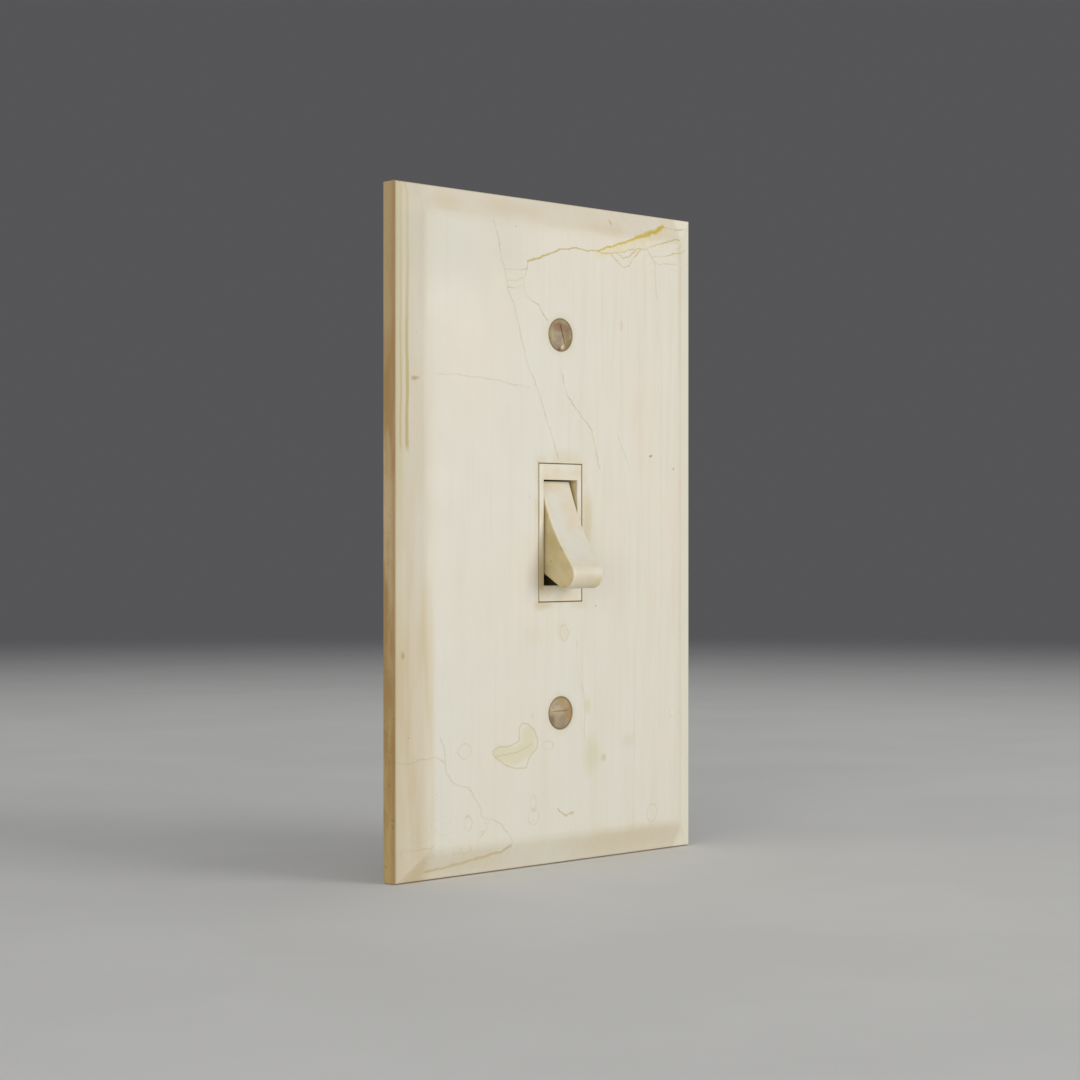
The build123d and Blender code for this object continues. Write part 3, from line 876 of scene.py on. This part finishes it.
def fibre_sheet(name, first, second):
    material, tree, shader, point = new_material(name)
    hairs = noise(tree, scaled(tree, point, (1, 1, 6)), 1.6, 4.0, 0.7)
    wire(tree, blend(tree, fade(tree, hairs, 0.35, 0.65), rgb(*first), rgb(*second)), shader.inputs["Base Color"])
    shader.inputs["Roughness"].default_value = 0.75
    bump(tree, shader, hairs, 0.4, 0.03)
    return material


dress("screw_retainers", fibre_sheet("red fibre", (118, 52, 38), (146, 74, 54)))
dress("insulating_gasket", fibre_sheet("fish paper", (66, 74, 66), (86, 92, 80)))

# %% [markdown]
# ## Screws, rivets and the coil spring with Geometry Nodes
# Fasteners repeat, so each kind is a node tree with its sizes as inputs. A
# screw is one grid rolled up: its first rings become the head, the rest the
# shank with a thread whose radius follows the turn angle plus the depth. A
# cutter box takes the slot out, and the screw is placed on every seat point.

# %% Helpers for geometry trees


def geometry_tree(name, floats, others=()):
    """A geometry tree with named inputs; returns it, its inputs and its end."""
    tree = bpy.data.node_groups.new(name, "GeometryNodeTree")
    slots = [("Geometry", "Geometry")] + [(f, "Float") for f in floats] + list(others)
    for label, kind in slots:
        tree.interface.new_socket(name=label, in_out="INPUT", socket_type="NodeSocket" + kind)
    tree.interface.new_socket(name="Geometry", in_out="OUTPUT", socket_type="NodeSocketGeometry")
    return tree, tree.nodes.new("NodeGroupInput").outputs, tree.nodes.new("NodeGroupOutput")


def ramp(tree, value, start, end, low=0.0, high=1.0):
    """A straight clamped step from low at start to high at end."""
    return add(tree, "ShaderNodeMapRange", value, start, end, low, high).outputs[0]


def turned_grid(tree, rings, sides):
    """A grid and its two counters: the turn from 0 to 1, and the ring number."""
    grid = add(tree, "GeometryNodeMeshGrid", 1.0, 1.0, sides, rings)
    u, v, _ = add(tree, "ShaderNodeSeparateXYZ", grid.outputs["UV Map"]).outputs
    ring = times(tree, v, calc(tree, "SUBTRACT", rings, 1.0))
    return grid.outputs["Mesh"], u, ring


def rolled_up(tree, mesh, u, radius, height):
    """Wrap the grid round Z at the given radius and height, and weld it."""
    angle = times(tree, u, -2 * pi)
    x = times(tree, radius, calc(tree, "COSINE", angle))
    y = times(tree, radius, calc(tree, "SINE", angle))
    place = add(tree, "ShaderNodeCombineXYZ", x, y, height).outputs[0]
    moved = add(tree, "GeometryNodeSetPosition", mesh)
    wire(tree, place, moved.inputs["Position"])
    return add(tree, "GeometryNodeMergeByDistance", moved.outputs[0], True, 1e-6).outputs[0]


def crisp(tree, mesh, angle):
    """Smooth shading, with edges sharper than the angle left sharp."""
    bend_angle = add(tree, "GeometryNodeInputMeshEdgeAngle").outputs[0]
    keen = calc(tree, "GREATER_THAN", bend_angle, angle)
    smooth = add(tree, "GeometryNodeSetShadeSmooth", mesh, domain="FACE")
    sharp = add(tree, "GeometryNodeSetShadeSmooth", smooth.outputs[0], domain="EDGE")
    wire(tree, keen, sharp.inputs["Selection"])
    sharp.inputs["Shade Smooth"].default_value = False
    return sharp.outputs[0]


def placed(tree, seats, mesh, material, leave):
    """Instance the mesh on the seats, turned as each seat's facing says."""
    facing = add(tree, "GeometryNodeInputNamedAttribute", data_type="FLOAT_VECTOR")
    facing.inputs["Name"].default_value = "facing"
    turn = add(tree, "FunctionNodeEulerToRotation", facing.outputs[0]).outputs[0]
    spots = add(tree, "GeometryNodeInstanceOnPoints", seats)
    wire(tree, mesh, spots.inputs["Instance"])
    wire(tree, turn, spots.inputs["Rotation"])
    solid = add(tree, "GeometryNodeRealizeInstances", spots.outputs[0]).outputs[0]
    dressed = add(tree, "GeometryNodeSetMaterial", solid)
    wire(tree, material, dressed.inputs["Material"])
    wire(tree, dressed.outputs[0], leave.inputs[0])


def seats(name, places):
    """Loose points in mm, each with the turn that brings +Z to its own axis."""
    mesh = bpy.data.meshes.new(name)
    mesh.from_pydata([Vector(p) * MM for p, _ in places], [], [])
    facing = mesh.attributes.new("facing", "FLOAT_VECTOR", "POINT")
    for item, (_, matrix) in zip(facing.data, places):
        item.vector = matrix.to_euler()
    obj = bpy.data.objects.new(name, mesh)
    scene.collection.objects.link(obj)
    return obj


def grow(obj, tree, values):
    """Run a tree on the seats and keep the result as one plain mesh."""
    modifier = obj.modifiers.new("grow", "NODES")
    modifier.node_group = tree
    for item in tree.interface.items_tree:
        if item.in_out == "INPUT" and item.name in values:
            modifier[item.identifier] = values[item.name]
    depsgraph = bpy.context.evaluated_depsgraph_get()
    mesh = bpy.data.meshes.new_from_object(obj.evaluated_get(depsgraph))
    obj.modifiers.remove(modifier)
    # the boolean leaves an empty slot before the real one
    finish = [m for m in mesh.materials if m][0]
    mesh.materials.clear()
    mesh.materials.append(finish)
    mesh.polygons.foreach_set("material_index", [0] * len(mesh.polygons))
    obj.data = mesh
    mesh.name = obj.name
    bm = bmesh.new()
    bm.from_mesh(mesh)
    open_edges = sum(not e.is_manifold for e in bm.edges)
    volume = bm.calc_volume(signed=True) / MM**3
    bm.free()
    print(f"{obj.name}: {len(mesh.polygons)} faces, {finish.name}, {open_edges} open edges, {volume:.1f} mm3")
    return obj


# %% The screw tree
HEAD_RINGS, ROOT_RINGS = 12, 18  # rings over the crown, and down to the thread


def screw_tree():
    tree, given, leave = geometry_tree(
        "Slotted machine screw",
        ["Head Radius", "Crown", "Crown Power", "Crown Root", "Rim", "Cone", "Neck Radius",
         "Neck Length", "Thread Radius", "Thread Depth", "Pitch", "Thread Length", "Tip",
         "Slot Width", "Slot Depth"],
        [("Thread Rings", "Int"), ("Material", "Material")],
    )
    last = total(tree, given["Thread Rings"], ROOT_RINGS)
    mesh, u, ring = turned_grid(tree, total(tree, last, 4.0), 33)
    head_r, neck_r, thread_r = (given[n + " Radius"] for n in ("Head", "Neck", "Thread"))

    # the crown runs from the middle to the rim, with rings closer at the rim
    crown_at = calc(tree, "SINE", ramp(tree, ring, 0, HEAD_RINGS, 0, pi / 2))
    fallen = calc(tree, "SUBTRACT", 1.0, calc(tree, "POWER", crown_at, given["Crown Power"]))
    crown = times(tree, given["Crown"], calc(tree, "POWER", calc(tree, "MAXIMUM", fallen, 0.0), given["Crown Root"]))

    at_end = calc(tree, "ADD", last, 2.0)
    height = total(tree, crown, given["Rim"])
    for start, end, drop in (
        (HEAD_RINGS, HEAD_RINGS + 1, given["Rim"]),
        (HEAD_RINGS + 1, HEAD_RINGS + 3, given["Cone"]),
        (HEAD_RINGS + 3, HEAD_RINGS + 5, given["Neck Length"]),
        (ROOT_RINGS, last, given["Thread Length"]),
        (last, at_end, given["Tip"]),
    ):
        height = calc(tree, "SUBTRACT", height, times(tree, drop, ramp(tree, ring, start, end)))

    radius = total(
        tree,
        times(tree, head_r, crown_at),
        times(tree, calc(tree, "SUBTRACT", neck_r, head_r), ramp(tree, ring, HEAD_RINGS + 1, HEAD_RINGS + 3)),
        times(tree, calc(tree, "SUBTRACT", thread_r, neck_r), ramp(tree, ring, ROOT_RINGS - 1, ROOT_RINGS)),
        times(tree, thread_r, -0.37, ramp(tree, ring, last, at_end)),
        times(tree, thread_r, -0.63, ramp(tree, ring, at_end, total(tree, last, 3.0))),
    )
    # the thread: a triangle wave in turn plus depth, faded in and out
    phase = calc(tree, "FRACT", total(tree, calc(tree, "DIVIDE", height, given["Pitch"]), u, 100.0))
    flank = calc(tree, "ABSOLUTE", calc(tree, "SUBTRACT", times(tree, phase, 2.0), 1.0))
    cut = times(
        tree, given["Thread Depth"], flank,
        ramp(tree, ring, ROOT_RINGS, ROOT_RINGS + 9),
        ramp(tree, ring, last, calc(tree, "SUBTRACT", last, 7.0)),
    )
    body = rolled_up(tree, mesh, u, calc(tree, "SUBTRACT", radius, cut), height)

    # the slot, cut from the top of the crown
    top = total(tree, given["Rim"], given["Crown"])
    size = add(tree, "ShaderNodeCombineXYZ", times(tree, head_r, 2.6), given["Slot Width"], times(tree, given["Slot Depth"], 2.0))
    block = add(tree, "GeometryNodeMeshCube", size.outputs[0])
    lift = add(tree, "GeometryNodeTransform", block.outputs["Mesh"])
    wire(tree, add(tree, "ShaderNodeCombineXYZ", 0.0, 0.0, top).outputs[0], lift.inputs["Translation"])
    slotted = add(tree, "GeometryNodeMeshBoolean", operation="DIFFERENCE", solver="EXACT")
    wire(tree, body, slotted.inputs["Mesh 1"])
    wire(tree, lift.outputs[0], slotted.inputs["Mesh 2"])
    placed(tree, given["Geometry"], crisp(tree, slotted.outputs[0], radians(32)), given["Material"], leave)
    return tree


machine_screw = screw_tree()

# %% The three kinds of screw
TO_FACE = Matrix.Rotation(pi / 2, 3, "X")  # head towards -Y
TO_SIDE = Matrix.Rotation(pi / 2, 3, "Y")  # head towards +X


def face_turn(degrees):
    return Matrix.Rotation(radians(degrees), 3, "Y") @ TO_FACE


def side_turn(degrees):
    return Matrix.Rotation(radians(90 + degrees), 3, "X") @ TO_SIDE


def screws(name, node_name, body, finish, places, pitch, **sizes):
    """Grow screws on their seats; sizes are in mm, as input names say."""
    values = {key.replace("_", " ").title(): size * MM for key, size in sizes.items()}
    crown_power, crown_root = sizes.get("crown_power", 2.0), sizes.get("crown_root", 1.0)
    values.update({"Crown Power": crown_power, "Crown Root": crown_root, "Pitch": pitch * MM,
                   "Material": finish, "Thread Rings": round(sizes["thread_length"] / pitch * 9)})
    piece = grow(seats(name, places), machine_screw, values)
    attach(piece, body)
    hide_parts(node_name)
    return piece


screws(
    "oval_head_plate_screws", "plate_screws", "switch", screw_paint,
    [((0, -5.3, SCREW_Z[0]), face_turn(72)), ((0, -5.3, SCREW_Z[1]), face_turn(0))],
    pitch=0.794, head_radius=HEAD_R, crown=0.36, rim=0.0, cone=1.22, neck_radius=1.74,
    neck_length=1.6, thread_radius=1.74, thread_depth=0.34, thread_length=8.88, tip=0.79,
    slot_width=0.8, slot_depth=0.22,
)
screws(
    "captive_box_screws", "box_screws", "switch", zinc,
    [((0, -1.3, z), face_turn(25)) for z in (41.65, -41.65)],
    pitch=0.794, head_radius=3.1, crown=0.9, crown_power=6.0, crown_root=0.5, rim=0.8,
    cone=0.0, neck_radius=1.44, neck_length=2.5, thread_radius=1.74, thread_depth=0.34,
    thread_length=15.8, tip=0.79, slot_width=0.9, slot_depth=0.95,
)
screws(
    "binding_head_terminal_screws", "terminal_screws", "switch", brass,
    [((17.1, 11.3, -12), side_turn(20)), ((17.1, 11.3, 12), side_turn(65))],
    pitch=0.794, head_radius=3.5, crown=0.7, crown_power=5.0, crown_root=0.5, rim=1.3,
    cone=0.0, neck_radius=1.45, neck_length=0.9, thread_radius=1.74, thread_depth=0.3,
    thread_length=3.0, tip=0.55, slot_width=0.9, slot_depth=1.0,
)

# %% [markdown]
# ## Rolled eyelets that hold the housing together
# Each eyelet is a thin brass tube whose two ends are rolled outwards by a
# punch. The tree follows the middle of the sheet: straight through the tube,
# then round an arc at each end, first along the bore and back along the
# outside, and turns that closed strip round the axis.

# %% The eyelet tree


def eyelet_tree():
    tree, given, leave = geometry_tree(
        "Rolled eyelet",
        ["Tube Radius", "Sheet", "Curl Radius", "Curl Angle", "Half Length"],
        [("Material", "Material")],
    )
    rings = 72
    mesh, u, ring = turned_grid(tree, rings + 1, 29)
    along = calc(tree, "PINGPONG", ring, rings / 2)  # 0 at one end of the sheet
    outside = calc(tree, "GREATER_THAN", ring, rings / 2)
    outside = times(tree, outside, calc(tree, "LESS_THAN", ring, rings - 0.5))
    side = calc(tree, "SUBTRACT", 0.5, outside)  # which face of the sheet
    half = rings / 2
    curl = calc(
        tree, "SUBTRACT",
        ramp(tree, along, 0.62 * half, half), ramp(tree, along, 0.38 * half, 0.0),
    )
    angle = times(tree, curl, given["Curl Angle"])
    reach = total(tree, given["Curl Radius"], times(tree, side, given["Sheet"]))
    middle = total(tree, given["Tube Radius"], given["Curl Radius"])
    radius = calc(tree, "SUBTRACT", middle, times(tree, reach, calc(tree, "COSINE", angle)))
    straight = times(tree, given["Half Length"], ramp(tree, along, 0.38 * half, 0.62 * half, -1.0, 1.0))
    height = total(tree, straight, times(tree, reach, calc(tree, "SINE", angle)))
    body = rolled_up(tree, mesh, u, radius, height)
    placed(tree, given["Geometry"], crisp(tree, body, radians(40)), given["Material"], leave)
    return tree


SHEET, CURL = 0.36, 0.46
rivet_low, rivet_high = (Vector(c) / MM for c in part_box("housing_rivets"))
rivet_middle = (rivet_low + rivet_high) / 2
HALF_TUBE = (rivet_high.y - rivet_low.y) / 2 - CURL - SHEET / 2
corners = [(x, rivet_middle.y, z) for x in (-11, 11) for z in (-20.5, 20.5)]
eyelets = grow(
    seats("rolled_eyelets", [(corner, TO_FACE) for corner in corners]),
    eyelet_tree(),
    {"Tube Radius": 1.0 * MM, "Sheet": SHEET * MM, "Curl Radius": CURL * MM,
     "Curl Angle": radians(160), "Half Length": HALF_TUBE * MM, "Material": brass},
)
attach(eyelets, "switch")
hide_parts("housing_rivets")

# %% [markdown]
# ## The detent spring
# A compression spring pushes the detent plunger out of the lever's tail. It is
# wire on a spiral whose pitch is small over the first and last turn, because
# the ends of such a spring are closed so they sit flat.

# %% The spring tree


def spring_tree():
    tree, given, leave = geometry_tree(
        "Closed end spring", ["Coil Radius", "Wire Radius", "Length", "Turns"], [("Material", "Material")]
    )
    spiral = add(tree, "GeometryNodeCurveSpiral", 28, given["Turns"], given["Coil Radius"], given["Coil Radius"], given["Length"])
    t = add(tree, "GeometryNodeSplineParameter").outputs["Factor"]
    rise = total(tree, times(tree, t, 0.57), times(tree, fade(tree, t, 0.15, 0.85), 0.43))
    x, y, _ = add(tree, "ShaderNodeSeparateXYZ", add(tree, "GeometryNodeInputPosition").outputs[0]).outputs
    place = add(tree, "ShaderNodeCombineXYZ", x, y, times(tree, rise, given["Length"])).outputs[0]
    closed = add(tree, "GeometryNodeSetPosition", spiral.outputs[0])
    wire(tree, place, closed.inputs["Position"])
    ring = add(tree, "GeometryNodeCurvePrimitiveCircle", mode="RADIUS")
    ring.inputs["Resolution"].default_value = 10
    wire(tree, given["Wire Radius"], ring.inputs["Radius"])
    wound = add(tree, "GeometryNodeCurveToMesh", closed.outputs[0], ring.outputs[0])
    wound.inputs["Fill Caps"].default_value = True
    placed(tree, given["Geometry"], crisp(tree, wound.outputs[0], radians(60)), given["Material"], leave)
    return tree


spring_low, spring_high = (Vector(c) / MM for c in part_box("detent_spring"))
spring_axis = Vector((0, -cos(radians(40.44)), -sin(radians(40.44))))
spring_seat = (spring_low + spring_high) / 2 - spring_axis * 1.45
spring = grow(
    seats("closed_end_spring", [(spring_seat, spring_axis.to_track_quat("Z", "Y").to_matrix())]),
    spring_tree(),
    {"Coil Radius": 0.84 * MM, "Wire Radius": 0.16 * MM, "Length": 2.9 * MM, "Turns": 5.0, "Material": spring_steel},
)
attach(spring, "lever")
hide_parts("detent_spring")
